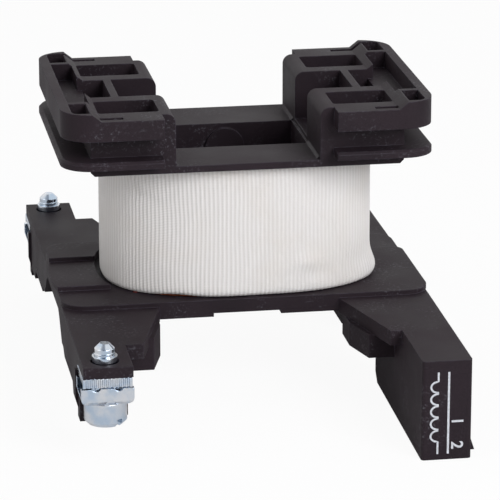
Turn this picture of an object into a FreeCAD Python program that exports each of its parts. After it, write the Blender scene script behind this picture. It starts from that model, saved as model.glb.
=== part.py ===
import FreeCAD, Part
import math
import os
from FreeCAD import Vector

# Contactor coil, in millimetres. +X runs to the block side, +Y to the back, +Z up.
# z = 0 is the top face of the four arms, and the bore's axis is x = 0, y = 0.

# Bore for the magnet's middle leg, and the tube that carries the winding
bore_length = 28.8
bore_width = 18.2
tube_wall = 1.5
bore_boss_radius = 4.15
bore_boss_rise = 0.7
bore_boss_z = 25.0

# Levels, stacked upwards from the arms' top face
seat_rise = 0.95
base_thickness = 2.65
window_height = 27.75
flange_thickness = 1.4
sill_rise = 0.85
guide_plate = 1.65
guide_edge_chamfer = 0.5
guide_groove = 4.4
head_plate = 4.1
rim_rise = 1.5

# Upper flange and the two ribbed heads, in plan
flange_half_depth = 22.6
flange_half_length = 32.1
flange_corner = 0.8
head_half_length = 37.95
guide_half_length = 38.1
head_half_depth = 26.85
head_corner = 6.4
guide_corner = 6.2
rail_end_x = 17.6
tower_inner_x = 14.8
tower_edge_round = 1.9
foot_strip = 0.5
foot_strip_end = 21.3

# Pockets in each head
pocket_start_x = 17.8
pocket_end_x = 30.2
pocket_inner_y = 10.55
pocket_outer_y = 20.1
pocket_depth = 8.2
channel_half_width = 7.1
cross_rib_x = 24.4
cross_rib_width = 1.6
end_pocket_x = 31.5
end_pocket_half = 16.0
end_floor_depth = 3.6
middle_pocket_x = 30.4
rim_wall = 2.0
end_rib = 1.3
corner_pocket_x = 32.4
corner_pocket_depth = 3.6
slit_start_x = 25.6
slit_end_x = 30.4
slit_width = 1.6
slit_depth = 1.6
ramp_start_x = 30.2
ramp_end_x = 32.1
pocket_round = 0.8

# Lower flange
base_half_length = 38.0
seat_half_depth = 21.3
seat_corner = 5.0
seat_overhang = 0.45
seat_edge_bow = 0.9
back_seat_drop = 0.5
back_seat_y = 9.3
left_step_rise = 1.0
left_step_front_y = -10.7
left_high_rise = 0.9
left_high_y = 6.55
left_high_back_y = 17.1
skirt_notch_half = 7.0
skirt_notch_rise = 0.75
skirt_notch_depth = 3.0

# Arms, from the lower flange's edge to the tips
arm_root_x = 18.2
arm_wide_x = 24.5
right_arm_shift = 0.9
arm_notch_y = 43.7
left_tip_width = 9.8
left_tip_y = 56.6
arm_thickness = 3.1
tip_thickness = 2.2

# Hollow boxes under the arms
box_depth = 8.0
box_wall = 1.4
box_back_y = 20.6
box_front_y = 36.7
box_corner_x = 21.5
box_waist_x = 19.1
box_waist_y = 28.3
box_right_shift = right_arm_shift
web_top_y = 8.5
web_foot_y = 17.0
side_wall_slope_y = 19.5
side_wall_foot = 9.4
side_wall_thickness = 1.2
box_window_start = 21.5
box_window_end = 35.5
box_window_height = 2.1
box_window_bar = 0.9
box_edge_round = 1.2

# Label blocks at the ends of the right arms
block_width = 10.3
block_front_y = 63.3
block_back_y = 17.6
block_height = 20.5
block_heel_rise = 0.9
block_taper = 0.3
block_wall = 1.6
block_chamfer = 2.0
block_edge_round = 0.7
latch_rise = 0.8
latch_height = 2.4
latch_length = 9.0
latch_above_foot = 1.5

# Terminal screws, plates and clamps at the tips of the left arms
screw_inset = 4.7
screw_y = 52.4
screw_radius = 2.0
screw_top = 3.7
screw_tip_chamfer = 1.0
screw_head_radius = 4.25
screw_head_height = 4.8
screw_head_chamfer = 0.8
slot_width = 1.1
slot_depth = 1.6
slot_turn = 35.0
neck_radius = 2.5
neck_rise = 1.2
neck_clearance = 0.35
thread_clearance = 0.04
plate_thickness = 1.2
plate_lip = 1.8
plate_half_width = 4.85
plate_front_y = 57.0
plate_back_y = 47.6
tag_half_width = 3.4
tag_end_y = 30.5
tag_clearance = 0.15
serration_count = 11
serration_depth = 0.25
clamp_half_width = 5.2
clamp_half_depth = 4.5
clamp_sheet = 1.2
clamp_fold = 0.7
clamp_height = 3.5
clamp_notch_radius = 1.1
clamp_notch_x = 2.2
clamp_notch_lift = 0.6
clamp_relief_radius = 1.1
clamp_relief_x = 0.6
clamp_corner = 1.6
clamp_clearance = 0.3
barrier_y = 45.9
barrier_thickness = 1.2
barrier_foot = 13.4
barrier_ear_y = 49.4
barrier_neck_foot = 11.6
barrier_ear = 0.6
rail_height = 3.2
rail_wall = 1.2

# Winding, tape and leads
coil_half_length = 28.6
coil_half_width = 20.3
coil_power = 2.8
tape_thickness = 0.6
tape_rib_rise = 0.14
tape_rib_count = 182
coil_end_gap = 0.15
coil_tube_gap = 0.1
coil_corner = 1.2
lead_x = 22.0
lead_y = 13.0
lead_radius = 0.6
lead_clearance = 0.25
lead_bend = 2.0
lead_drop = 4.6
lead_tag_offset = 2.3
solder_radius = 1.5
solder_rise = 0.9
solder_length = 2.8

# Places along the base plate that follow its ends
left_tip_x = base_half_length - left_tip_width
block_inner_x = base_half_length - block_width
block_tip_x = base_half_length - block_taper
screw_x = base_half_length - screw_inset
lead_tag_x = screw_x - lead_tag_offset

# Heights worked out from the levels above
seat_top = seat_rise
flange_under = seat_top + window_height
flange_top = flange_under + flange_thickness
sill_top = flange_top + sill_rise
guide_top = sill_top + guide_plate
head_under = guide_top + guide_groove
head_top = head_under + head_plate
rim_top = head_top + rim_rise
left_step_top = seat_top + left_step_rise
left_high_top = left_step_top + left_high_rise
rim_inner_x = head_half_length - rim_wall
margin = 1.0


def box(x0, x1, y0, y1, z0, z1):
    """A block between two opposite corners, given in any order."""
    low = Vector(min(x0, x1), min(y0, y1), min(z0, z1))
    return Part.makeBox(abs(x1 - x0), abs(y1 - y0), abs(z1 - z0), low)


def prism(points, z0, z1):
    """A straight-sided solid over a plan outline."""
    loop = [Vector(x, y, z0) for x, y in points]
    face = Part.Face(Part.makePolygon(loop + loop[:1]))
    return face.extrude(Vector(0, 0, z1 - z0))


def profile_along_x(points, x0, x1):
    """A solid whose side view in y and z is the outline."""
    loop = [Vector(x0, y, z) for y, z in points]
    face = Part.Face(Part.makePolygon(loop + loop[:1]))
    return face.extrude(Vector(x1 - x0, 0, 0))


def profile_along_y(points, y0, y1):
    """A solid whose front view in x and z is the outline."""
    loop = [Vector(x, y0, z) for x, z in points]
    face = Part.Face(Part.makePolygon(loop + loop[:1]))
    return face.extrude(Vector(0, y1 - y0, 0))


def upright(x, y, radius, z0, z1):
    """A cylinder standing along Z."""
    return Part.makeCylinder(radius, z1 - z0, Vector(x, y, z0))


def mirror_x(shape):
    return shape.mirror(Vector(0, 0, 0), Vector(1, 0, 0))


def mirror_y(shape):
    return shape.mirror(Vector(0, 0, 0), Vector(0, 1, 0))


def round_uprights(shape, corners, radius):
    """Fillet the vertical edges that stand on the given plan corners."""
    edges = []
    for edge in shape.Edges:
        ends = [v.Point for v in edge.Vertexes]
        if len(ends) != 2 or abs(ends[0].z - ends[1].z) < 0.1:
            continue
        for x, y in corners:
            if all(math.hypot(p.x - x, p.y - y) < 0.01 for p in ends):
                edges.append(edge)
    return shape.makeFillet(radius, edges)


def head_outline_block(half_length, corner, z0, z1):
    """A plate with two rounded outer corners, as the head and the guide under it have."""
    block = box(rail_end_x, half_length, -head_half_depth, head_half_depth, z0, z1)
    corners = [(half_length, -head_half_depth), (half_length, head_half_depth)]
    return round_uprights(block, corners, corner)


def tower_core():
    """The recessed body between the two plates, with its rounded inner top edge."""
    body = box(tower_inner_x, flange_half_length, -flange_half_depth, flange_half_depth,
               flange_top, head_top)
    inner_edges = [e for e in body.Edges
                   if all(abs(v.X - tower_inner_x) < 0.01 and abs(v.Z - head_top) < 0.01
                          for v in e.Vertexes)]
    return body.makeFillet(tower_edge_round, inner_edges)


def head_pockets():
    """Everything that is cut down into a head from above."""
    floor = head_top - pocket_depth
    top = rim_top + margin
    cuts = []
    for side in (-1, 1):
        long_pocket = box(pocket_start_x, pocket_end_x, side * pocket_inner_y,
                          side * pocket_outer_y, floor, top)
        plan = [(x, side * y) for x in (pocket_start_x, pocket_end_x)
                for y in (pocket_inner_y, pocket_outer_y)]
        cuts.append(round_uprights(long_pocket, plan, pocket_round))
        slit_y = head_half_depth - slit_width
        slit_end = corner_pocket_x + margin if side > 0 else slit_end_x
        cuts.append(box(slit_start_x, slit_end, side * slit_y, side * (slit_y - slit_width),
                        head_top - slit_depth, top))
        corner_y = end_pocket_half + end_rib
        corner_pocket = box(corner_pocket_x, rim_inner_x, side * corner_y, side * slit_y,
                            rim_top - corner_pocket_depth, top)
        cuts.append(round_uprights(corner_pocket, [(rim_inner_x, side * slit_y)], 2 * pocket_round))
    cuts.append(box(tower_inner_x - margin, cross_rib_x, -channel_half_width, channel_half_width,
                    sill_top, top))
    cuts.append(box(cross_rib_x + cross_rib_width, middle_pocket_x, -channel_half_width,
                    channel_half_width, floor, top))
    end_floor = rim_top - end_floor_depth
    cuts.append(box(middle_pocket_x - margin, end_pocket_x, -channel_half_width,
                    channel_half_width, end_floor, top))
    cuts.append(box(end_pocket_x, rim_inner_x, -end_pocket_half, end_pocket_half, end_floor, top))
    return cuts


def soften_guide_edge(guide):
    """Soften the guide plate's upper edge, where the housing's rail slides on."""
    edges = [e for e in guide.Edges
             if all(abs(v.Z - guide_top) < 0.01 for v in e.Vertexes)
             and max(v.X for v in e.Vertexes) > rail_end_x + margin]
    return guide.makeChamfer(guide_edge_chamfer, edges)


def rim_cut():
    """What is taken off above the rails, leaving the raised rim round the head's end."""
    top = rim_top + margin
    outline = [(tower_inner_x - margin, head_top), (ramp_start_x, head_top), (ramp_end_x, rim_top),
               (ramp_end_x + margin, top), (tower_inner_x - margin, top)]
    reach = head_half_depth + margin
    return profile_along_y(outline, -reach, reach)


def head():
    """One ribbed head on the right-hand side, from the flange's underside to the rim."""
    shape = tower_core()
    guide = head_outline_block(guide_half_length, guide_corner, sill_top, guide_top)
    shape = shape.fuse(soften_guide_edge(guide))
    shape = shape.fuse(head_outline_block(head_half_length, head_corner, head_under, rim_top))
    shape = shape.cut(rim_cut())
    for cut in head_pockets():
        shape = shape.cut(cut)
    strip_x = tower_inner_x - foot_strip
    for side in (-1, 1):
        strip = profile_along_y([(strip_x, flange_top), (tower_inner_x, flange_top),
                                 (tower_inner_x, flange_top + foot_strip)],
                                side * bore_width / 2, side * foot_strip_end)
        shape = shape.fuse(strip)
    return shape


def upper_flange():
    """The thin flange that closes the top of the winding window."""
    low = flange_under + flange_corner
    inset = flange_half_length - flange_corner
    outline = [(-flange_half_length, flange_top), (-flange_half_length, low), (-inset, flange_under),
               (inset, flange_under), (flange_half_length, low), (flange_half_length, flange_top)]
    return profile_along_y(outline, -flange_half_depth, flange_half_depth)


def coil_outline(half_length, half_width, count, ripple=0.0):
    """The wound oval: a superellipse, with an optional fine rib wave across the tape."""
    points = []
    for i in range(count):
        angle = 2 * math.pi * i / count
        c = math.cos(angle)
        s = math.sin(angle)
        reach = (abs(c / half_length) ** coil_power + abs(s / half_width) ** coil_power)
        radius = reach ** (-1 / coil_power) - (ripple if i % 2 else 0.0)
        points.append((radius * c, radius * s))
    return points


def even_coil_outline(half_length, half_width, count, ripple):
    """The same oval with its points spaced evenly along the tape."""
    fine = coil_outline(half_length, half_width, 8 * count)
    lengths = [0.0]
    for i in range(len(fine)):
        a = fine[i]
        b = fine[(i + 1) % len(fine)]
        lengths.append(lengths[-1] + math.hypot(b[0] - a[0], b[1] - a[1]))
    points = []
    k = 0
    for i in range(count):
        target = lengths[-1] * i / count
        while lengths[k + 1] <= target:
            k += 1
        x, y = fine[k]
        shrink = 1 - (ripple if i % 2 else 0.0) / math.hypot(x, y)
        points.append((x * shrink, y * shrink))
    return points


def smooth_oval(half_length, half_width, z0, z1):
    """A solid over the wound oval, with a smooth side."""
    points = [Vector(x, y, z0) for x, y in coil_outline(half_length, half_width, 48)]
    curve = Part.BSplineCurve()
    curve.interpolate(points, PeriodicFlag=True)
    face = Part.Face(Part.Wire(curve.toShape()))
    return face.extrude(Vector(0, 0, z1 - z0))


def step_outline(y0, y1, bow):
    """A step on the left, whose outer edge may bow out past the base plate."""
    a = Vector(-base_half_length, y0, 0)
    b = Vector(-base_half_length, y1, 0)
    corner_a = Vector(0, y0, 0)
    corner_b = Vector(0, y1, 0)
    outer = Part.LineSegment(a, b)
    if bow > 0:
        outer = Part.Arc(a, Vector(-base_half_length - bow, (y0 + y1) / 2, 0), b)
    wire = Part.Wire([outer.toShape(), Part.LineSegment(b, corner_b).toShape(),
                      Part.LineSegment(corner_b, corner_a).toShape(),
                      Part.LineSegment(corner_a, a).toShape()])
    return Part.Face(wire)


def seat_plate():
    """The raised plate that the winding sits on, with its steps on both sides."""
    right_x = base_half_length + seat_overhang
    plate = box(-base_half_length, right_x, -seat_half_depth, back_seat_y, 0, seat_top)
    corners = [(-base_half_length, -seat_half_depth), (right_x, -seat_half_depth)]
    plate = round_uprights(plate, corners, seat_corner)
    plate = round_uprights(plate, [(right_x, back_seat_y)], seat_corner / 2)
    low_step = box(0, base_half_length, 0, seat_half_depth, 0, seat_top - back_seat_drop)
    low_step = round_uprights(low_step, [(base_half_length, seat_half_depth)], seat_corner)
    under_coil = smooth_oval(coil_half_length, coil_half_width, 0, seat_top)
    plate = plate.fuse(low_step).fuse(under_coil)
    around = smooth_oval(coil_half_length + coil_end_gap, coil_half_width + coil_end_gap,
                         seat_top, left_high_top + margin)
    middle = step_outline(left_step_front_y, left_high_y, seat_edge_bow)
    middle = middle.extrude(Vector(0, 0, left_step_top - seat_top))
    middle.translate(Vector(0, 0, seat_top))
    high = box(-base_half_length, 0, left_high_y, left_high_back_y, 0, left_high_top)
    high = round_uprights(high, [(-base_half_length, left_high_back_y)], seat_corner)
    return plate.fuse(middle.fuse(high).cut(around))


def base_plate():
    """The flat plate under the winding, with the shallow notch in its front and back skirts."""
    plate = box(-base_half_length, base_half_length, -seat_half_depth, seat_half_depth,
                -base_thickness, 0)
    for side in (-1, 1):
        notch = box(-skirt_notch_half, skirt_notch_half, side * seat_half_depth,
                    side * (seat_half_depth - skirt_notch_depth),
                    -base_thickness, -base_thickness + skirt_notch_rise)
        plate = plate.cut(notch)
    return plate


def box_plan(shift, inset):
    """The plan of the box under an arm, reaching back under the base plate."""
    front = -box_front_y + inset
    corner_x = box_corner_x + shift + inset
    waist_x = box_waist_x + shift + inset
    return [(base_half_length + margin, 0), (base_half_length + margin, front), (corner_x, front),
            (waist_x, -box_waist_y), (waist_x, 0)]


def right_box(inset):
    """The box under a right arm, or its hollow when there is an inset."""
    foot = -box_depth - (margin if inset else 0.0)
    top = -arm_thickness
    shape = prism(box_plan(box_right_shift, inset), foot, top)
    reach = box(0, block_inner_x + margin - inset, -box_front_y, -box_back_y - inset, foot, top)
    return shape.common(reach)


def left_box(inset):
    """The box under a left arm, whose back is a sloping web, or its hollow."""
    foot = -box_depth - (margin if inset else 0.0)
    top = -arm_thickness if inset else -base_thickness / 2
    web_slope = (web_foot_y - web_top_y) / box_depth
    shift = inset * math.hypot(1, web_slope)
    side = [(-web_top_y + web_slope * top - shift, top), (-box_front_y + inset, top),
            (-box_front_y + inset, foot), (-web_top_y + web_slope * foot - shift, foot)]
    outer_x = -base_half_length + (side_wall_thickness if inset else 0.0)
    shape = profile_along_x(side, outer_x, 0)
    return shape.common(mirror_x(prism(box_plan(0.0, inset), foot - margin, margin)))


def side_wall():
    """The outer wall of a left box, with its two long windows and the neck to the barrier."""
    end = -barrier_y - barrier_thickness
    profile = [(-web_top_y, -base_thickness / 2), (-side_wall_slope_y, -box_depth),
               (-side_wall_slope_y - 2 * box_edge_round, -side_wall_foot), (-box_front_y, -side_wall_foot),
               (-box_front_y - box_edge_round, -barrier_neck_foot), (end, -barrier_neck_foot),
               (end, -base_thickness / 2)]
    wall = profile_along_x(profile, -base_half_length, -base_half_length + side_wall_thickness)
    for k in range(2):
        top = -arm_thickness - k * (box_window_height + box_window_bar)
        window = box(-base_half_length - margin, -base_half_length + side_wall_thickness + margin,
                     -box_window_end, -box_window_start, top - box_window_height, top)
        wall = wall.cut(window)
    return wall


def right_arm():
    """The front right arm with its box and its label block."""
    root_x = arm_root_x + right_arm_shift
    outline = [(root_x, -seat_half_depth + margin), (root_x, -seat_half_depth),
               (arm_wide_x + right_arm_shift, -arm_notch_y), (block_inner_x, -arm_notch_y),
               (block_inner_x, -block_front_y + margin), (block_tip_x, -block_front_y + margin),
               (base_half_length, -seat_half_depth), (base_half_length, -seat_half_depth + margin)]
    arm = prism(outline, -arm_thickness, 0)
    arm = arm.fuse(right_box(0.0))
    arm = arm.cut(right_box(box_wall))
    return arm.fuse(label_block())


def block_shell(inset):
    """The label block's outside, or its hollow when there is an inset."""
    front = -block_front_y + inset
    back = -block_back_y - inset
    x0 = block_inner_x + inset
    outline = [(x0, back), (x0, front), (block_tip_x - inset, front),
               (base_half_length - inset, -seat_half_depth), (base_half_length - inset, back)]
    foot = -block_height - (margin if inset else 0.0)
    top = -arm_thickness if inset else 0.0
    shape = prism(outline, foot, top)
    if inset:
        return shape
    return round_uprights(shape, [(x0, front), (block_tip_x, front)], block_edge_round)


def label_block():
    """The tall hollow block, open underneath, with a latch ridge on its outer side."""
    block = block_shell(0.0)
    heel = -block_height + block_heel_rise
    under = [(-block_front_y, -block_height), (-block_back_y - block_chamfer, heel),
             (-block_back_y, heel + block_chamfer), (-block_back_y + margin, heel + block_chamfer),
             (-block_back_y + margin, -block_height - margin),
             (-block_front_y, -block_height - margin)]
    block = block.cut(profile_along_x(under, 0, base_half_length + margin))
    hollow = block_shell(block_wall)
    length = block_front_y - block_back_y
    for k in (1, 2):
        y = -block_front_y + length * k / 3
        hollow = hollow.cut(box(0, base_half_length, y - block_wall / 2, y + block_wall / 2,
                                -block_height - 2 * margin, 0))
    block = block.cut(hollow)
    low = -block_height + latch_above_foot
    latch = profile_along_y([(block_tip_x - block_wall / 2, low), (block_tip_x + latch_rise, low),
                             (block_tip_x, low + latch_height),
                             (block_tip_x - block_wall / 2, low + latch_height)],
                            -block_front_y + block_edge_round,
                            -block_front_y + latch_length)
    return block.fuse(latch)


def left_arm():
    """The front left arm: its plate, hollow box, tag rails and the barrier behind the clamp."""
    outline = [(-arm_root_x, -seat_half_depth + margin), (-arm_root_x, -seat_half_depth),
               (-arm_wide_x, -arm_notch_y), (-left_tip_x, -arm_notch_y),
               (-left_tip_x, -left_tip_y), (-base_half_length, -left_tip_y),
               (-base_half_length, -seat_half_depth + margin)]
    arm = prism(outline, -arm_thickness, 0)
    recess = box(-base_half_length - margin, -left_tip_x + margin, -left_tip_y - margin,
                 -arm_notch_y - tag_clearance, -arm_thickness - margin, -tip_thickness)
    arm = arm.cut(recess)
    arm = arm.fuse(left_box(0.0)).cut(left_box(box_wall)).fuse(side_wall())
    end = -barrier_y - barrier_thickness
    inner_rail = box(-left_tip_x - rail_wall, -left_tip_x, end, -box_front_y,
                     -tip_thickness - rail_height, -tip_thickness)
    arm = arm.fuse(inner_rail).fuse(barrier(end))
    slot = box(-screw_x - tag_half_width - tag_clearance, -screw_x + tag_half_width + tag_clearance,
               -plate_front_y, -tag_end_y + tag_clearance,
               -tip_thickness - plate_thickness - tag_clearance, -tip_thickness)
    arm = arm.cut(slot)
    hole = upright(-screw_x, -screw_y, neck_radius + neck_clearance, -tip_thickness - margin, margin)
    return arm.cut(hole)


def barrier(end):
    """The upright wall between the clamp and the box, a little wider at its upper part."""
    top = -tip_thickness - plate_thickness
    ear_x = -base_half_length - barrier_ear
    outline = [(ear_x, top), (-left_tip_x, top), (-left_tip_x, -barrier_foot),
               (-base_half_length, -barrier_foot), (-base_half_length, -barrier_neck_foot),
               (ear_x, -side_wall_foot)]
    wall = profile_along_y(outline, end, end + barrier_thickness)
    ear_top = -tip_thickness - plate_lip - 2 * clamp_clearance - clamp_height
    ear = box(-base_half_length, -base_half_length + barrier_thickness, -barrier_ear_y, end,
              -barrier_foot, ear_top)
    return wall.fuse(ear)


def lead_hole():
    """Where a lead drops through the base plate, and its way into the box behind the arm."""
    return swept_lead(lead_radius + lead_clearance)


def bobbin():
    """The one-piece black moulding."""
    half_x = bore_length / 2
    half_y = bore_width / 2
    tube = box(-half_x - tube_wall, half_x + tube_wall, -half_y - tube_wall, half_y + tube_wall,
               -base_thickness, flange_top)
    shape = base_plate().fuse(seat_plate()).fuse(tube)
    arm = left_arm()
    block_arm = right_arm()
    for piece in (arm, mirror_y(arm), block_arm, mirror_y(block_arm)):
        shape = shape.fuse(piece)
    for hole in (lead_hole(), mirror_y(lead_hole())):
        shape = shape.cut(hole)
    shape = shape.fuse(upper_flange())
    right_head = head()
    shape = shape.fuse(right_head).fuse(mirror_x(right_head))
    bore = box(-half_x, half_x, -half_y, half_y, -base_thickness - margin, rim_top + margin)
    shape = shape.cut(bore)
    boss = Part.makeCylinder(bore_boss_radius, bore_boss_rise, Vector(0, half_y, bore_boss_z),
                             Vector(0, -1, 0))
    return shape.fuse(boss).removeSplitter()


def winding():
    """The copper winding, seated between the two flanges."""
    low = seat_top + coil_end_gap
    high = flange_under - coil_end_gap
    body = smooth_oval(coil_half_length - tape_thickness, coil_half_width - tape_thickness, low, high)
    gap = tube_wall + coil_tube_gap
    half_x = bore_length / 2 + gap
    half_y = bore_width / 2 + gap
    inside = box(-half_x, half_x, -half_y, half_y, low - margin, high + margin)
    return body.cut(inside)


def tape():
    """The cotton tape over the winding: its ribs stand up the side."""
    low = seat_top + coil_end_gap
    high = flange_under - coil_end_gap
    outside = prism(even_coil_outline(coil_half_length, coil_half_width, 2 * tape_rib_count,
                                      tape_rib_rise), low, high)
    inner = smooth_oval(coil_half_length - tape_thickness, coil_half_width - tape_thickness,
                        low - margin, high + margin)
    return outside.cut(inner)


def terminal_screw():
    """The terminal screw, head down, with a slotted head and a rounded tip."""
    head_top_z = -tip_thickness - plate_lip - clamp_clearance - clamp_height
    foot = head_top_z - screw_head_height
    shank = upright(-screw_x, -screw_y, screw_radius, head_top_z, screw_top)
    tip = [e for e in shank.Edges if all(abs(v.Z - screw_top) < 0.01 for v in e.Vertexes)
           and e.Curve.TypeId == "Part::GeomCircle"]
    shank = shank.makeChamfer(screw_tip_chamfer, tip)
    cap = upright(-screw_x, -screw_y, screw_head_radius, foot, head_top_z)
    rim = [e for e in cap.Edges if all(abs(v.Z - foot) < 0.01 for v in e.Vertexes)
           and e.Curve.TypeId == "Part::GeomCircle"]
    cap = cap.makeChamfer(screw_head_chamfer, rim)
    reach = screw_head_radius + margin
    slot = box(-screw_x - slot_width / 2, -screw_x + slot_width / 2, -screw_y - reach,
               -screw_y + reach, foot - margin, foot + slot_depth)
    cross = box(-screw_x - reach / 2, -screw_x + reach / 2, -screw_y - slot_width / 2,
                -screw_y + slot_width / 2, foot - margin, foot + slot_depth)
    for cut in (slot, cross):
        cut.rotate(Vector(-screw_x, -screw_y, 0), Vector(0, 0, 1), slot_turn)
    return shank.fuse(cap).cut(slot).cut(cross).removeSplitter()


def terminal_plate():
    """The plate over the clamp, with a threaded neck through the arm and a tag behind."""
    top = -tip_thickness
    under = top - plate_thickness
    pad = box(-screw_x - plate_half_width, -screw_x + plate_half_width, -plate_front_y,
              -plate_back_y, under, top)
    lip = box(-screw_x - plate_half_width, -screw_x + plate_half_width, -plate_front_y,
              -left_tip_y, top - plate_lip, top)
    plate = pad.fuse(lip)
    step = 2 * plate_half_width / (serration_count + 1)
    for k in range(1, serration_count + 1):
        x = -screw_x - plate_half_width + k * step
        groove = Part.makeCylinder(serration_depth, plate_lip + 2 * margin,
                                   Vector(x, -plate_front_y, top - plate_lip - margin))
        plate = plate.cut(groove)
    tag = box(-screw_x - tag_half_width, -screw_x + tag_half_width, -plate_back_y - margin,
              -tag_end_y, under, top)
    neck = upright(-screw_x, -screw_y, neck_radius, under, neck_rise)
    bore = upright(-screw_x, -screw_y, screw_radius + thread_clearance, under - margin,
                   neck_rise + margin)
    return plate.fuse(tag).fuse(neck).cut(bore).removeSplitter()


def clamp_plate():
    """The loose clamp: a square plate with its front and back edges turned up."""
    top = -tip_thickness - plate_lip - clamp_clearance
    foot = top - clamp_height
    x0 = -screw_x - clamp_half_width
    x1 = -screw_x + clamp_half_width
    y0 = -screw_y - clamp_half_depth
    y1 = -screw_y + clamp_half_depth
    chamfer = clamp_fold * clamp_sheet
    outline = [(y0, top), (y0, foot + chamfer), (y0 + chamfer, foot), (y1 - chamfer, foot),
               (y1, foot + chamfer), (y1, top), (y1 - clamp_sheet, top),
               (y1 - clamp_sheet, foot + clamp_sheet), (y0 + clamp_sheet, foot + clamp_sheet),
               (y0 + clamp_sheet, top)]
    plate = profile_along_x(outline, x0, x1)
    rounded = box(x0, x1, y0, y1, foot, top)
    lower = [e for e in rounded.Edges if all(abs(v.Z - foot) < 0.01 for v in e.Vertexes)
             and abs(e.Vertexes[0].X - e.Vertexes[1].X) < 0.01]
    plate = plate.common(rounded.makeFillet(clamp_corner, lower))
    for side in (-1, 1):
        notch = Part.makeCylinder(clamp_notch_radius, 2 * clamp_half_depth + 2 * margin,
                                  Vector(-screw_x + side * clamp_notch_x, y0 - margin,
                                         top + clamp_notch_lift),
                                  Vector(0, 1, 0))
        plate = plate.cut(notch)
    relief = Part.makeCylinder(clamp_relief_radius, clamp_sheet + margin,
                               Vector(-screw_x + clamp_relief_x, y0 - margin, foot),
                               Vector(0, 1, 0))
    hole = upright(-screw_x, -screw_y, screw_radius + clamp_clearance, foot - margin, top + margin)
    return plate.cut(relief).cut(hole)


def lead_path():
    """The lead drops through the base plate, bends once and runs to the tag."""
    start = Vector(-lead_x, -lead_y, seat_top + coil_end_gap)
    corner = Vector(-lead_x, -lead_y, -lead_drop)
    end = Vector(-lead_tag_x, -tag_end_y - solder_length, -lead_drop)
    along = (end - corner).normalize()
    first = Vector(corner.x, corner.y, corner.z + lead_bend)
    last = corner + along * lead_bend
    centre = first + along * lead_bend
    middle = centre + (corner - centre).normalize() * lead_bend
    arc = Part.Arc(first, middle, last).toShape()
    return Part.Wire([Part.LineSegment(start, first).toShape(), arc,
                      Part.LineSegment(last, end).toShape()])


def swept_lead(radius):
    """A round tube along the lead's path."""
    start = Vector(-lead_x, -lead_y, seat_top + coil_end_gap)
    circle = Part.Wire(Part.makeCircle(radius, start, Vector(0, 0, 1)))
    return lead_path().makePipeShell([circle], True, False)


def lead():
    """The sleeved lead between the winding and the terminal's tag."""
    return swept_lead(lead_radius)


def solder_joint():
    """A mound of solder that holds the lead's end under the tag."""
    under = -tip_thickness - plate_thickness
    centre = Vector(-lead_tag_x, -tag_end_y - solder_length, under)
    height = solder_rise * solder_radius
    mound = Part.makeCone(solder_radius, solder_radius / 2, height, centre, Vector(0, 0, -1))
    return mound.cut(lead())


def save(name, shape):
    """Write one node's solid and say what it measures."""
    solids = shape.Solids
    print(name, "solids", len(solids), "valid", shape.isValid(), "volume", round(shape.Volume, 1))
    keep = solids[0] if len(solids) == 1 else Part.makeCompound(solids)
    keep.exportStep(os.path.join("parts", name + ".step"))


os.makedirs("parts", exist_ok=True)
save("bobbin", bobbin())
save("winding", winding())
save("cotton_tape", tape())
pairs = {
    "terminal_screw": terminal_screw(),
    "terminal_plate": terminal_plate(),
    "clamp_plate": clamp_plate(),
    "lead_wire": lead(),
    "solder_joint": solder_joint(),
}
for name, shape in pairs.items():
    save(name + "_front", shape)
    save(name + "_back", mirror_y(shape))
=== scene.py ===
import math
import bmesh
import bpy
from mathutils import Matrix, Vector, noise


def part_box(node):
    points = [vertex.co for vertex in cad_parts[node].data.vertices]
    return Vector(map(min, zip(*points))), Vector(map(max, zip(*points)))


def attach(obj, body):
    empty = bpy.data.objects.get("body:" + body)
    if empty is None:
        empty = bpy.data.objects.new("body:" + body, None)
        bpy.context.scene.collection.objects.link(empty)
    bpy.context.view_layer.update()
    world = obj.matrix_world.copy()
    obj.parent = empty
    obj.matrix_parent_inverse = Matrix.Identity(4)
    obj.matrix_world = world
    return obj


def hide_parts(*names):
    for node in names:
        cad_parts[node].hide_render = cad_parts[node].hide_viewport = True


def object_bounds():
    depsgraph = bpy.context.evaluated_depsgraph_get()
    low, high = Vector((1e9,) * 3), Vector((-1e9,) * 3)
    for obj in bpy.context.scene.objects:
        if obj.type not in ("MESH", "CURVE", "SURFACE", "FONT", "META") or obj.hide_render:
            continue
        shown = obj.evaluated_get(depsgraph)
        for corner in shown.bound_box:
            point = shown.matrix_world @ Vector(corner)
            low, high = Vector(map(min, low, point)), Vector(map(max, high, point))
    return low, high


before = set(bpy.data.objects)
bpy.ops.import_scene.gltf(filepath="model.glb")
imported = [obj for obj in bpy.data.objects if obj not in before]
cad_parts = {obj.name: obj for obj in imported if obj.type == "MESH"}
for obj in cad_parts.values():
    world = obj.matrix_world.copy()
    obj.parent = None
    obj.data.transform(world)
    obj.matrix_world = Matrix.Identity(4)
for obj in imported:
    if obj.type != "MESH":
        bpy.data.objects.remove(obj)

mm = 0.001
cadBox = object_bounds()
scene = bpy.context.scene
print("frame loaded,", len(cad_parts), "nodes")


# camera, at the photograph's angle

cameraView = {
    "place": (-0.10297, -0.65085, 0.21055),
    "tiltDegrees": 72.658,
    "turnDegrees": -9.333,
    "lens": 235.43,
}


def addCamera():
    data = bpy.data.cameras.new("coilCamera")
    data.lens = cameraView["lens"]
    data.sensor_width = 36
    data.clip_start = 0.01
    camera = bpy.data.objects.new("coilCamera", data)
    camera.location = cameraView["place"]
    camera.rotation_euler = (math.radians(cameraView["tiltDegrees"]), 0,
                             math.radians(cameraView["turnDegrees"]))
    scene.collection.objects.link(camera)
    scene.camera = camera


# small helpers that every finish is built from

edgeWear = {
    "samples": 6,
    "flat": 0.995,    # how well the rounded and the flat normal agree away from an edge
    "worn": 0.86,
}


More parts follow.
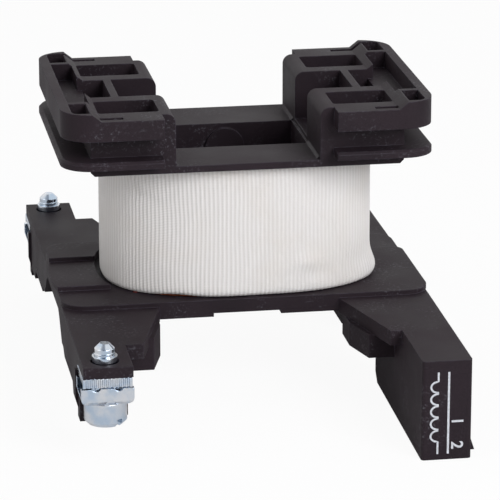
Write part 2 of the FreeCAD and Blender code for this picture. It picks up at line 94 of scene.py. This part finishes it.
def newFinish(name):
    finish = bpy.data.materials.new(name)
    finish.use_nodes = True
    nodes, links = finish.node_tree.nodes, finish.node_tree.links
    nodes.clear()
    out = nodes.new("ShaderNodeOutputMaterial")
    shader = nodes.new("ShaderNodeBsdfPrincipled")
    links.new(shader.outputs[0], out.inputs["Surface"])
    return finish, nodes, links, shader


def position(nodes):
    return nodes.new("ShaderNodeTexCoord").outputs["Object"]


# noise in the part's own coordinates, scale in features per metre
def speckle(nodes, links, scale, detail=3.0, roughness=0.5):
    node = nodes.new("ShaderNodeTexNoise")
    node.inputs["Scale"].default_value = scale
    node.inputs["Detail"].default_value = detail
    node.inputs["Roughness"].default_value = roughness
    links.new(position(nodes), node.inputs["Vector"])
    return node.outputs["Fac"]


def spread(nodes, links, value, low, high, toLow=0.0, toHigh=1.0):
    node = nodes.new("ShaderNodeMapRange")
    node.inputs["From Min"].default_value = low
    node.inputs["From Max"].default_value = high
    node.inputs["To Min"].default_value = toLow
    node.inputs["To Max"].default_value = toHigh
    links.new(value, node.inputs["Value"])
    return node.outputs[0]


def blendColours(nodes, links, amount, first, second):
    node = nodes.new("ShaderNodeMix")
    node.data_type = "RGBA"
    links.new(amount, node.inputs["Factor"])
    for socket, colour in ((node.inputs["A"], first), (node.inputs["B"], second)):
        if isinstance(colour, tuple):
            socket.default_value = colour
        else:
            links.new(colour, socket)
    return node.outputs["Result"]


def arithmetic(nodes, links, operation, first, second):
    node = nodes.new("ShaderNodeMath")
    node.operation = operation
    for socket, value in ((node.inputs[0], first), (node.inputs[1], second)):
        if isinstance(value, (int, float)):
            socket.default_value = value
        else:
            links.new(value, socket)
    return node.outputs[0]


# the softened normal, and a mask that is 1 on edges where the surface has rubbed
def roundedEdges(nodes, links, radius):
    soft = nodes.new("ShaderNodeBevel")
    soft.samples = edgeWear["samples"]
    soft.inputs["Radius"].default_value = radius
    face = nodes.new("ShaderNodeNewGeometry")
    dot = nodes.new("ShaderNodeVectorMath")
    dot.operation = "DOT_PRODUCT"
    links.new(soft.outputs[0], dot.inputs[0])
    links.new(face.outputs["Normal"], dot.inputs[1])
    edge = spread(nodes, links, dot.outputs["Value"], edgeWear["flat"], edgeWear["worn"])
    return soft.outputs[0], edge


def relief(nodes, links, height, strength, distance, normal=None):
    node = nodes.new("ShaderNodeBump")
    node.inputs["Strength"].default_value = strength
    node.inputs["Distance"].default_value = distance
    links.new(height, node.inputs["Height"])
    if normal is not None:
        links.new(normal, node.inputs["Normal"])
    return node.outputs[0]


# studio: a pale floor, a white surround and three soft lamps

studio = {
    "ambient": 0.42,
    "frontColour": (0.02, 0.04, 0.09, 1),
    "frontToRear": (-0.65, 0.35),
    "gapCentre": 0.22,
    "gapEdges": (0.10, 0.34),
    "keyPower": 7.4,
    "sidePower": 1.2,
    "rearPower": 0.3,
    "floorColour": (0.86, 0.86, 0.86, 1),
    "floorWhite": 0.94,
    "floorGap": 0.00005,
    "floorHalf": 3,
}


def softLamp(name, place, aim, size, power, tint):
    data = bpy.data.lights.new(name, "AREA")
    data.shape = "RECTANGLE"
    data.size, data.size_y = size
    data.energy = power
    data.color = tint
    lamp = bpy.data.objects.new(name, data)
    lamp.location = place
    lamp.rotation_euler = (Vector(aim) - Vector(place)).to_track_quat("-Z", "Y").to_euler()
    scene.collection.objects.link(lamp)


# 1 for camera and through-glass rays, which show the surround itself
def seenRay(nodes, links):
    path = nodes.new("ShaderNodeLightPath")
    first = nodes.new("ShaderNodeMath")
    first.operation = "MAXIMUM"
    links.new(path.outputs["Is Camera Ray"], first.inputs[0])
    links.new(path.outputs["Is Transmission Ray"], first.inputs[1])
    return path, first.outputs[0]


def addStudio():
    world = bpy.data.worlds.new("studio")
    scene.world = world
    world.use_nodes = True
    nodes, links = world.node_tree.nodes, world.node_tree.links
    nodes.clear()
    path, seen = seenRay(nodes, links)
    direction = nodes.new("ShaderNodeTexCoord")
    split = nodes.new("ShaderNodeSeparateXYZ")
    links.new(direction.outputs["Generated"], split.inputs[0])
    # the room in front of the table is darker than the white sweep behind it
    band = nodes.new("ShaderNodeMapRange")
    band.inputs["From Min"].default_value = studio["frontToRear"][0]
    band.inputs["From Max"].default_value = studio["frontToRear"][1]
    links.new(split.outputs["Y"], band.inputs["Value"])
    # a dark gap between two white panels in front gives the plated pieces their contrast
    across = arithmetic(nodes, links, "ADD", split.outputs["X"], studio["gapCentre"])
    beside = arithmetic(nodes, links, "ABSOLUTE", across, 0.0)
    panels = spread(nodes, links, beside, *studio["gapEdges"])
    lit = arithmetic(nodes, links, "MAXIMUM", band.outputs[0], panels)
    glossy = nodes.new("ShaderNodeBackground")
    shade = blendColours(nodes, links, lit, studio["frontColour"], (1, 1, 1, 1))
    links.new(shade, glossy.inputs["Color"])
    around = nodes.new("ShaderNodeBackground")
    around.inputs["Color"].default_value = (0.97, 0.98, 1.0, 1)
    around.inputs["Strength"].default_value = studio["ambient"]
    white = nodes.new("ShaderNodeBackground")
    white.inputs["Color"].default_value = (1, 1, 1, 1)
    mirror = nodes.new("ShaderNodeMixShader")
    links.new(path.outputs["Is Glossy Ray"], mirror.inputs[0])
    links.new(around.outputs[0], mirror.inputs[1])
    links.new(glossy.outputs[0], mirror.inputs[2])
    mix = nodes.new("ShaderNodeMixShader")
    links.new(seen, mix.inputs[0])
    links.new(mirror.outputs[0], mix.inputs[1])
    links.new(white.outputs[0], mix.inputs[2])
    out = nodes.new("ShaderNodeOutputWorld")
    links.new(mix.outputs[0], out.inputs["Surface"])
    addFloor()
    addLamps()
    scene.view_settings.view_transform = "Standard"


def addFloor():
    floorZ = cadBox[0][2] - studio["floorGap"]
    mesh = bpy.data.meshes.new("floor")
    half = studio["floorHalf"]
    corners = [(-half, -half, floorZ), (half, -half, floorZ), (half, half, floorZ),
               (-half, half, floorZ)]
    mesh.from_pydata(corners, [], [(0, 1, 2, 3)])
    floor = bpy.data.objects.new("floor", mesh)
    scene.collection.objects.link(floor)
    paint = bpy.data.materials.new("paleFloor")
    paint.use_nodes = True
    nodes, links = paint.node_tree.nodes, paint.node_tree.links
    nodes.clear()
    path, seen = seenRay(nodes, links)
    matt = nodes.new("ShaderNodeBsdfDiffuse")
    matt.inputs["Color"].default_value = studio["floorColour"]
    glow = nodes.new("ShaderNodeEmission")
    glow.inputs["Strength"].default_value = 1.0
    weight = nodes.new("ShaderNodeMath")
    weight.operation = "MULTIPLY"
    weight.inputs[1].default_value = studio["floorWhite"]
    links.new(seen, weight.inputs[0])
    mix = nodes.new("ShaderNodeMixShader")
    links.new(weight.outputs[0], mix.inputs[0])
    links.new(matt.outputs[0], mix.inputs[1])
    links.new(glow.outputs[0], mix.inputs[2])
    out = nodes.new("ShaderNodeOutputMaterial")
    links.new(mix.outputs[0], out.inputs["Surface"])
    mesh.materials.append(paint)


def addLamps():
    softLamp("keyLamp", (0.40, -0.75, 0.50), (0, 0, 0.01), (0.5, 0.5), studio["keyPower"],
             (0.97, 0.97, 1.0))
    softLamp("sideLamp", (-0.75, -0.25, 0.45), (0, 0, 0.01), (0.5, 0.6), studio["sidePower"],
             (1.0, 0.98, 0.96))
    softLamp("rearLamp", (-0.1, 0.45, 0.85), (0, 0, 0.02), (0.9, 0.4), studio["rearPower"],
             (1, 1, 1))


# finishes

plastic = {
    "colour": (0.0118, 0.0074, 0.0104, 1),
    "paler": (0.0225, 0.0145, 0.0190, 1),
    "edge": (0.055, 0.048, 0.064, 1),
    "scuff": (0.30, 0.30, 0.34, 1),
    "roughness": (0.50, 0.66),
    "gloss": 0.16,
    "dust": 0.40,
    "cloudPerMetre": 55,
    "grainPerMetre": 2600,
    "speckPerMetre": 6200,
    "grainDepth": 0.00006,
    "grainStrength": 0.35,
    "rubPerMetre": 420,
    "scuffPatchPerMetre": 90,
    "scuffCrumbPerMetre": 1500,
    "edgeRadius": 0.00028,
}
zinc = {
    "colour": (0.70, 0.72, 0.75, 1),
    "tint": (0.48, 0.58, 0.70, 1),
    "roughness": (0.10, 0.22),
    "edgeRoughness": 0.06,
    "tintPerMetre": 380,
    "dullPerMetre": 900,
    "ripplePerMetre": 700,
    "rippleDepth": 0.00008,
    "rippleStrength": 0.16,
    "edgeRadius": 0.00018,
}
tapeCloth = {
    "colour": (0.76, 0.74, 0.72, 1),
    # the groove colour is painted shade in the ribs' grooves
    "groove": (0.64, 0.61, 0.585, 1),
    "stain": (0.66, 0.61, 0.55, 1),
    "threadPitch": 0.00034,
    "threadWobble": 6.0,
    "wobblePerMetre": 700,
    "fuzzPerMetre": 4200,
    "soilPerMetre": 70,
    "soil": 0.55,
    "paintedGrooveShade": 0.8,
    "threadHeight": 0.30,
    "fuzzHeight": 0.70,
    "reliefStrength": 0.55,
    "reliefDepth": 0.00008,
    "roughness": 0.92,
    "sheen": 0.25,
    "gloss": 0.2,
}
enamel = {
    "colour": (0.46, 0.13, 0.05, 1),
    # painted shade: the wire is darker in the hollows between its turns
    "paintedShadeBetweenTurns": (0.16, 0.04, 0.02, 1),
    "wirePitch": 0.00028,
    "wireDepth": 0.00008,
    "roughness": (0.25, 0.42),
    "metallic": 0.75,
    "coat": 0.4,
}
sleeve = {"colour": (0.16, 0.03, 0.025, 1), "roughness": 0.48}
solder = {"colour": (0.62, 0.62, 0.60, 1), "roughness": 0.36}
ink = {"colour": (0.62, 0.64, 0.68, 1), "roughness": 0.6}


def plasticFinish():
    finish, nodes, links, shader = newFinish("blackMoulding")
    softNormal, edge = roundedEdges(nodes, links, plastic["edgeRadius"])
    cloud = speckle(nodes, links, plastic["cloudPerMetre"], 4)
    grain = speckle(nodes, links, plastic["grainPerMetre"], 2, 0.6)
    fine = speckle(nodes, links, plastic["speckPerMetre"], 1)
    tone = arithmetic(nodes, links, "ADD", arithmetic(nodes, links, "MULTIPLY", cloud, 0.6),
                      arithmetic(nodes, links, "MULTIPLY", fine, 0.4))
    body = blendColours(nodes, links, spread(nodes, links, tone, 0.38, 0.66), plastic["colour"],
                        plastic["paler"])
    rubbed = arithmetic(nodes, links, "MULTIPLY", edge,
                        spread(nodes, links, speckle(nodes, links, plastic["rubPerMetre"], 3),
                               0.40, 0.66, 0.15, 0.85))
    body = blendColours(nodes, links, rubbed, body, plastic["edge"])
    # thin whitish scuffs where the part has been handled
    patch = spread(nodes, links, speckle(nodes, links, plastic["scuffPatchPerMetre"], 3),
                   0.48, 0.72)
    crumbs = spread(nodes, links, speckle(nodes, links, plastic["scuffCrumbPerMetre"], 4, 0.7),
                    0.55, 0.70)
    touched = arithmetic(nodes, links, "MULTIPLY", patch, crumbs)
    scuffs = arithmetic(nodes, links, "MULTIPLY", touched, plastic["dust"])
    body = blendColours(nodes, links, scuffs, body, plastic["scuff"])
    links.new(body, shader.inputs["Base Color"])
    rough = spread(nodes, links, cloud, 0.3, 0.7, *plastic["roughness"])
    links.new(rough, shader.inputs["Roughness"])
    height = arithmetic(nodes, links, "ADD", grain, arithmetic(nodes, links, "MULTIPLY", fine, 0.5))
    links.new(relief(nodes, links, height, plastic["grainStrength"], plastic["grainDepth"],
                     softNormal), shader.inputs["Normal"])
    shader.inputs["Specular IOR Level"].default_value = plastic["gloss"]
    return finish


def zincFinish():
    finish, nodes, links, shader = newFinish("brightZinc")
    softNormal, edge = roundedEdges(nodes, links, zinc["edgeRadius"])
    cloud = speckle(nodes, links, zinc["tintPerMetre"], 3)
    links.new(blendColours(nodes, links, spread(nodes, links, cloud, 0.35, 0.65), zinc["colour"],
                           zinc["tint"]), shader.inputs["Base Color"])
    rough = arithmetic(nodes, links, "ADD",
                       spread(nodes, links, speckle(nodes, links, zinc["dullPerMetre"], 4),
                              0.35, 0.65, *zinc["roughness"]),
                       arithmetic(nodes, links, "MULTIPLY", edge, zinc["edgeRoughness"]))
    links.new(rough, shader.inputs["Roughness"])
    ripple = speckle(nodes, links, zinc["ripplePerMetre"], 2)
    links.new(relief(nodes, links, ripple, zinc["rippleStrength"], zinc["rippleDepth"],
                     softNormal), shader.inputs["Normal"])
    shader.inputs["Metallic"].default_value = 1.0
    return finish


def tapeFinish():
    finish, nodes, links, shader = newFinish("cottonTape")
    # the rib's own groove is stored on the mesh, 0 on a crest and 1 in a groove; it paints shade
    # into the grooves
    groove = nodes.new("ShaderNodeAttribute")
    groove.attribute_name = "groove"
    split = nodes.new("ShaderNodeSeparateXYZ")
    links.new(position(nodes), split.inputs[0])
    turns = arithmetic(nodes, links, "MULTIPLY", split.outputs["Z"],
                       2 * math.pi / tapeCloth["threadPitch"])
    wobble = arithmetic(nodes, links, "MULTIPLY",
                        speckle(nodes, links, tapeCloth["wobblePerMetre"], 2),
                        tapeCloth["threadWobble"])
    threads = arithmetic(nodes, links, "SINE", arithmetic(nodes, links, "ADD", turns, wobble), 0.0)
    fuzz = speckle(nodes, links, tapeCloth["fuzzPerMetre"], 3, 0.7)
    # painted shade: the tape is darker in the ribs' grooves
    paintedShadeAmount = arithmetic(nodes, links, "MULTIPLY", groove.outputs["Fac"], tapeCloth["paintedGrooveShade"])
    body = blendColours(nodes, links, paintedShadeAmount, tapeCloth["colour"], tapeCloth["groove"])
    soiled = spread(nodes, links, speckle(nodes, links, tapeCloth["soilPerMetre"], 3),
                    0.52, 0.80, 0.0, tapeCloth["soil"])
    body = blendColours(nodes, links, soiled, body, tapeCloth["stain"])
    links.new(body, shader.inputs["Base Color"])
    height = arithmetic(nodes, links, "ADD",
                        arithmetic(nodes, links, "MULTIPLY", threads, tapeCloth["threadHeight"]),
                        arithmetic(nodes, links, "MULTIPLY", fuzz, tapeCloth["fuzzHeight"]))
    links.new(relief(nodes, links, height, tapeCloth["reliefStrength"],
                     tapeCloth["reliefDepth"]), shader.inputs["Normal"])
    shader.inputs["Roughness"].default_value = tapeCloth["roughness"]
    shader.inputs["Sheen Weight"].default_value = tapeCloth["sheen"]
    shader.inputs["Sheen Roughness"].default_value = 0.6
    shader.inputs["Specular IOR Level"].default_value = tapeCloth["gloss"]
    return finish


def enamelFinish():
    finish, nodes, links, shader = newFinish("enamelledCopper")
    split = nodes.new("ShaderNodeSeparateXYZ")
    links.new(position(nodes), split.inputs[0])
    turns = arithmetic(nodes, links, "MULTIPLY", split.outputs["Z"],
                       2 * math.pi / enamel["wirePitch"])
    wires = arithmetic(nodes, links, "SINE", turns, 0.0)
    # painted shade between the wire turns, darkest in the hollows
    links.new(blendColours(nodes, links, spread(nodes, links, wires, -1.0, 0.2), enamel["paintedShadeBetweenTurns"],
                           enamel["colour"]), shader.inputs["Base Color"])
    links.new(relief(nodes, links, wires, 0.8, enamel["wireDepth"]), shader.inputs["Normal"])
    links.new(spread(nodes, links, speckle(nodes, links, 600, 2), 0.3, 0.7,
                     *enamel["roughness"]), shader.inputs["Roughness"])
    shader.inputs["Metallic"].default_value = enamel["metallic"]
    shader.inputs["Coat Weight"].default_value = enamel["coat"]
    return finish


def simpleFinish(name, values, metallic, scale):
    finish, nodes, links, shader = newFinish(name)
    mottled = speckle(nodes, links, scale, 3)
    darker = tuple(0.7 * c for c in values["colour"][:3]) + (1,)
    links.new(blendColours(nodes, links, spread(nodes, links, mottled, 0.3, 0.7), darker,
                           values["colour"]), shader.inputs["Base Color"])
    links.new(spread(nodes, links, mottled, 0.3, 0.7, values["roughness"] - 0.08,
                     values["roughness"] + 0.10), shader.inputs["Roughness"])
    links.new(relief(nodes, links, mottled, 0.25, 0.00006), shader.inputs["Normal"])
    shader.inputs["Metallic"].default_value = metallic
    return finish


# every carried-over node gets the finish of its piece
def dressFrame(finishes):
    byNode = {"bobbin": "plastic"}
    for end in ("front", "back"):
        byNode["terminal_screw_" + end] = "zinc"
        byNode["terminal_plate_" + end] = "zinc"
        byNode["clamp_plate_" + end] = "zinc"
        byNode["lead_wire_" + end] = "sleeve"
        byNode["solder_joint_" + end] = "solder"
    for name, key in byNode.items():
        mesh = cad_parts[name].data
        if not mesh.materials:
            mesh.materials.append(finishes[key])
        for i in range(len(mesh.materials)):
            mesh.materials[i] = finishes[key]


# the cotton tape round the winding

tapeShape = {
    "ribs": 182,
    "samplesPerRib": 6,
    "rows": 40,
    "ribDepth": 0.13,
    "halfWidth": 20.3,
    "right": {"reach": 28.8, "power": 2.8},
    "left": {"reach": 27.8, "power": 2.35},
    "gapOverWire": 0.52,
    "ribLean": 0.35,
    "edgeRoll": 0.22,
}


# the wound oval, whose left end is a little shorter and rounder than its right
def ovalPoint(angle, inset):
    c, s = math.cos(angle), math.sin(angle)
    end = tapeShape["right" if c > 0 else "left"]
    power = end["power"]
    halfWidth = tapeShape["halfWidth"] - inset
    reach = abs(c / (end["reach"] - inset)) ** power + abs(s / halfWidth) ** power
    radius = reach ** (-1 / power)
    return radius * c, radius * s


# angles spaced so that the ribs have one pitch all the way round
def evenOval(count):
    fine = 20000    # steps round the oval
    total, sums, last = 0.0, [0.0], ovalPoint(0, 0.0)
    for i in range(1, fine + 1):
        here = ovalPoint(2 * math.pi * i / fine, 0.0)
        total += math.hypot(here[0] - last[0], here[1] - last[1])
        sums.append(total)
        last = here
    angles, k = [], 0
    for i in range(count):
        target = total * i / count
        while sums[k + 1] < target:
            k += 1
        part = (target - sums[k]) / max(sums[k + 1] - sums[k], 1e-9)
        angles.append(2 * math.pi * (k + part) / fine)
    return angles


def hump(value, centre, width):
    return math.exp(-((value - centre) / width) ** 2)


def turnedFrom(angle, centre):
    return (angle - centre + math.pi) % (2 * math.pi) - math.pi


# soft swellings and hollows: how far out in mm, at what angle and height, and how wide
tapeForms = (
    {"out": 1.25, "angle": -14, "wide": 0.24, "height": 2.6, "tall": 2.6},     # flare at the foot
    {"out": -0.45, "angle": -31.189, "wide": 0.14, "height": 5.5, "tall": 3.2},
    {"out": 0.45, "angle": -58, "wide": 0.10, "height": 7.6, "tall": 1.7},     # small soft bulge
    {"out": -0.30, "angle": -51.125, "wide": 0.12, "height": 4.8, "tall": 1.6},
)
tapeCrease = {"out": -0.22, "angle": -150, "wide": 0.25, "height": 23.0, "tall": 1.6, "slope": 9}
tapeUneven = {"out": 0.10, "round": 2.2, "up": 0.07}


# how far the tape stands off its even oval, in mm, at an angle and height
def tapeSwell(angle, z):
    swell = 0.0
    for form in tapeForms:
        turned = turnedFrom(angle, math.radians(form["angle"]))
        swell += form["out"] * hump(turned, 0, form["wide"]) * hump(z, form["height"], form["tall"])
    crease = tapeCrease
    turned = turnedFrom(angle, math.radians(crease["angle"]))
    along = z + crease["slope"] * turned
    swell += crease["out"] * hump(turned, 0, crease["wide"]) * hump(along, crease["height"],
                                                                   crease["tall"])
    around = tapeUneven["round"]
    place = Vector((around * math.cos(angle), around * math.sin(angle), z * tapeUneven["up"]))
    return swell + tapeUneven["out"] * noise.noise(place)


tapeEdge = {"lift": 0.42, "angle": -128, "wide": 0.17, "ragged": 0.13, "raggedRound": 60}


# the tape's lower edge: ragged by each rib, lifted a little where the wire shows
def tapeFoot(angle, low):
    edge = tapeEdge
    lifted = edge["lift"] * hump(turnedFrom(angle, math.radians(edge["angle"])), 0, edge["wide"])
    rough = noise.noise(Vector((edge["raggedRound"] * angle, 0, 3.1)))
    return low + lifted + edge["ragged"] * (0.5 + 0.5 * rough)


def addTape(finish):
    low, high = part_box("cotton_tape")
    low, high = low[2] / mm, high[2] / mm
    count = tapeShape["ribs"] * tapeShape["samplesPerRib"]
    angles = evenOval(count)
    inside = tapeShape["gapOverWire"]
    rows = tapeShape["rows"]
    points, grooves = [], []
    for i, angle in enumerate(angles):
        foot = tapeFoot(angle, low)
        for row in range(rows + 1):
            t = row / rows
            z = foot + (high - foot) * t
            place = Vector((1.7 * math.cos(angle), 1.7 * math.sin(angle), z * 0.09))
            lean = tapeShape["ribLean"] * noise.noise(place)
            phase = 2 * math.pi * (i / tapeShape["samplesPerRib"] + lean)
            crest = 0.5 + 0.5 * math.cos(phase)
            x, y = ovalPoint(angle, 0.0)
            edgeRoll = tapeShape["edgeRoll"] * (hump(t, 0, 0.02) + hump(t, 1, 0.02))
            away = tapeSwell(angle, z) - tapeShape["ribDepth"] * (1 - crest) - edgeRoll
            size = math.hypot(x, y)
            points.append((x * (1 + away / size) * mm, y * (1 + away / size) * mm, z * mm))
            grooves.append(1 - crest)
        inner = ovalPoint(angle, inside)
        for z in (high, foot):
            points.append((inner[0] * mm, inner[1] * mm, z * mm))
            grooves.append(0.5)
    ring = rows + 3
    faces = []
    for i in range(count):
        j = (i + 1) % count
        for row in range(ring):
            up = (row + 1) % ring
            faces.append((i * ring + row, j * ring + row, j * ring + up, i * ring + up))
    mesh = bpy.data.meshes.new("coilTape")
    mesh.from_pydata(points, [], faces)
    mesh.attributes.new("groove", "FLOAT", "POINT").data.foreach_set("value", grooves)
    mesh.polygons.foreach_set("use_smooth", [True] * len(mesh.polygons))
    mesh.materials.append(finish)
    tape = bpy.data.objects.new("coilTape", mesh)
    scene.collection.objects.link(tape)
    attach(tape, "root")
    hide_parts("cotton_tape")
    print("coilTape", len(points), "points")


# the winding under the tape, whose lowest turns show at the front

windingShape = {
    "turnPitch": 0.30,
    "turnDepth": 0.07,
    "gapUnderTape": 0.08,
    "columns": 200,
    "insideHalfLength": 16.1,
    "insideHalfWidth": 10.8,
}


def addWinding(finish):
    low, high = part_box("winding")
    low, high = low[2] / mm, high[2] / mm
    shape = windingShape
    rows = 2 * int((high - low) / shape["turnPitch"])
    angles = evenOval(shape["columns"])
    points = []
    for angle in angles:
        for row in range(rows + 1):
            inset = tapeShape["gapOverWire"] + shape["gapUnderTape"]
            inset += shape["turnDepth"] if row % 2 else 0.0
            x, y = ovalPoint(angle, inset)
            points.append((x * mm, y * mm, (low + (high - low) * row / rows) * mm))
        c, s = math.cos(angle), math.sin(angle)
        scale = min(shape["insideHalfLength"] / max(abs(c), 1e-6),
                    shape["insideHalfWidth"] / max(abs(s), 1e-6))
        for z in (high, low):
            points.append((scale * c * mm, scale * s * mm, z * mm))
    ring = rows + 3
    faces = []
    count = len(angles)
    for i in range(count):
        j = (i + 1) % count
        for row in range(ring):
            up = (row + 1) % ring
            faces.append((i * ring + row, j * ring + row, j * ring + up, i * ring + up))
    mesh = bpy.data.meshes.new("wireTurns")
    mesh.from_pydata(points, [], faces)
    mesh.polygons.foreach_set("use_smooth", [True] * len(mesh.polygons))
    mesh.materials.append(finish)
    turns = bpy.data.objects.new("wireTurns", mesh)
    scene.collection.objects.link(turns)
    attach(turns, "root")
    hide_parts("winding")
    print("wireTurns", rows // 2, "turns high")


# the screws' thread, where it stands out of the plate's neck

threadShape = {
    "turns": 1.05,
    "pitch": 0.7,
    "radius": 2.0,
    "rise": 0.12,
    "foot": 1.26,
    "steps": 48,
    "halfTooth": 0.38,    # of the pitch
    "crestHalf": 0.06,
    "sink": 0.1,
}


def addThread(end, finish):
    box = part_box("terminal_screw_" + end)
    centreX = (box[0][0] + box[1][0]) / 2
    centreY = (box[0][1] + box[1][1]) / 2
    shape = threadShape
    mesh = bpy.data.meshes.new("screwThread_" + end)
    build = bmesh.new()
    total = int(shape["turns"] * shape["steps"])
    rings = []
    for k in range(total + 1):
        t = k / shape["steps"]
        ease = min(1.0, 4 * t, 4 * (shape["turns"] - t))
        z = shape["foot"] + shape["pitch"] * t
        angle = 2 * math.pi * t
        crest = shape["radius"] + shape["rise"] * max(ease, 0.05)
        half = shape["pitch"] * shape["halfTooth"]
        root = shape["radius"] - shape["sink"]
        flat = shape["crestHalf"]
        ring = []
        for radius, lift in ((root, -half), (crest, -flat), (crest, flat), (root, half)):
            ring.append(build.verts.new((centreX + radius * math.cos(angle) * mm,
                                         centreY + radius * math.sin(angle) * mm,
                                         (z + lift) * mm)))
        rings.append(ring)
    for a, b in zip(rings, rings[1:]):
        for k in range(4):
            build.faces.new((a[k], b[k], b[(k + 1) % 4], a[(k + 1) % 4]))
    build.faces.new(rings[0])
    build.faces.new(rings[-1])
    bmesh.ops.recalc_face_normals(build, faces=build.faces)
    build.to_mesh(mesh)
    build.free()
    mesh.materials.append(finish)
    thread = bpy.data.objects.new("screwThread_" + end, mesh)
    scene.collection.objects.link(thread)
    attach(thread, "root")


# the print on the front label block: a rule, a coil sign and the terminals' numbers

printing = {
    "ruleX": 33.0,
    "ruleTop": -2.3,
    "ruleFoot": -19.3,
    "ruleWidth": 0.42,
    "signX": 30.9,
    "signTop": -4.2,
    "loops": 5,
    "loopRadius": 1.15,
    "loopWidth": 1.25,    # loops are this much wider than high
    "loopGap": 0.25,
    "loopSteps": 12,
    "signLine": 0.38,
    "numberX": 34.7,
    "numberSize": 3.3,
    "numbers": (("1", -12.6), ("2", -17.6)),
    "raise": 0.02,
    "thickness": 0.012,
    "bolder": 0.00006,
}


def printPlane():
    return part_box("bobbin")[0][1] / mm


# a printed line of even width along points in x and z
def stroke(name, points, width, finish):
    y = printPlane() - printing["raise"]
    left, right = [], []
    for i, (x, z) in enumerate(points):
        a = points[max(i - 1, 0)]
        b = points[min(i + 1, len(points) - 1)]
        dx, dz = b[0] - a[0], b[1] - a[1]
        size = math.hypot(dx, dz)
        nx, nz = -dz / size * width / 2, dx / size * width / 2
        left.append((x + nx, z + nz))
        right.append((x - nx, z - nz))
    build = bmesh.new()
    layers = []
    for depth in (0.0, printing["thickness"]):
        rows = [[build.verts.new((p[0] * mm, (y + depth) * mm, p[1] * mm)) for p in side]
                for side in (left, right)]
        layers.append(rows)
    count = len(points)
    for i in range(count - 1):
        for rows in layers:
            build.faces.new((rows[0][i], rows[0][i + 1], rows[1][i + 1], rows[1][i]))
        for side in (0, 1):
            build.faces.new((layers[0][side][i], layers[0][side][i + 1], layers[1][side][i + 1],
                             layers[1][side][i]))
    for i in (0, count - 1):
        build.faces.new((layers[0][0][i], layers[0][1][i], layers[1][1][i], layers[1][0][i]))
    bmesh.ops.recalc_face_normals(build, faces=build.faces)
    mesh = bpy.data.meshes.new(name)
    build.to_mesh(mesh)
    build.free()
    mesh.materials.append(finish)
    line = bpy.data.objects.new(name, mesh)
    scene.collection.objects.link(line)
    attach(line, "root")


def addNumber(text, z, finish):
    curve = bpy.data.curves.new("number" + text, "FONT")
    curve.body = text
    curve.size = printing["numberSize"] * mm
    curve.align_x = "CENTER"
    curve.align_y = "CENTER"
    curve.extrude = printing["thickness"] / 2 * mm
    curve.offset = printing["bolder"]
    number = bpy.data.objects.new("number" + text, curve)
    y = printPlane() - printing["raise"] + printing["thickness"] / 2
    # read with the head tilted right, as the label's text runs downwards
    turn = Matrix.Rotation(math.radians(90), 4, "X") @ Matrix.Rotation(math.radians(-90), 4, "Z")
    number.matrix_world = Matrix.Translation((printing["numberX"] * mm, y * mm, z * mm)) @ turn
    curve.materials.append(finish)
    scene.collection.objects.link(number)
    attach(number, "root")


def addPrint(finish):
    rule = printing
    stroke("printRule", [(rule["ruleX"], rule["ruleTop"]), (rule["ruleX"], rule["ruleFoot"])],
           rule["ruleWidth"], finish)
    points = [(rule["signX"], rule["ruleTop"])]
    z = rule["signTop"]
    radius = rule["loopRadius"]
    for loop in range(rule["loops"]):
        for k in range(rule["loopSteps"] + 1):
            angle = math.pi * k / rule["loopSteps"]
            points.append((rule["signX"] - radius * rule["loopWidth"] * math.sin(angle),
                           z - radius + radius * math.cos(angle)))
        z -= 2 * radius + rule["loopGap"]
    points.append((rule["signX"], rule["ruleFoot"]))
    stroke("printCoilSign", points, rule["signLine"], finish)
    for text, z in rule["numbers"]:
        addNumber(text, z, finish)
    print("print on the label block done")


addCamera()
addStudio()
print("studio done")
finishes = {
    "plastic": plasticFinish(),
    "zinc": zincFinish(),
    "tape": tapeFinish(),
    "enamel": enamelFinish(),
    "sleeve": simpleFinish("leadSleeve", sleeve, 0.0, 900),
    "solder": simpleFinish("solderMound", solder, 1.0, 1200),
    "ink": simpleFinish("labelInk", ink, 0.0, 2500),
}
dressFrame(finishes)
print("finishes done")
addTape(finishes["tape"])
addWinding(finishes["enamel"])
for end in ("front", "back"):
    addThread(end, finishes["zinc"])
addPrint(finishes["ink"])
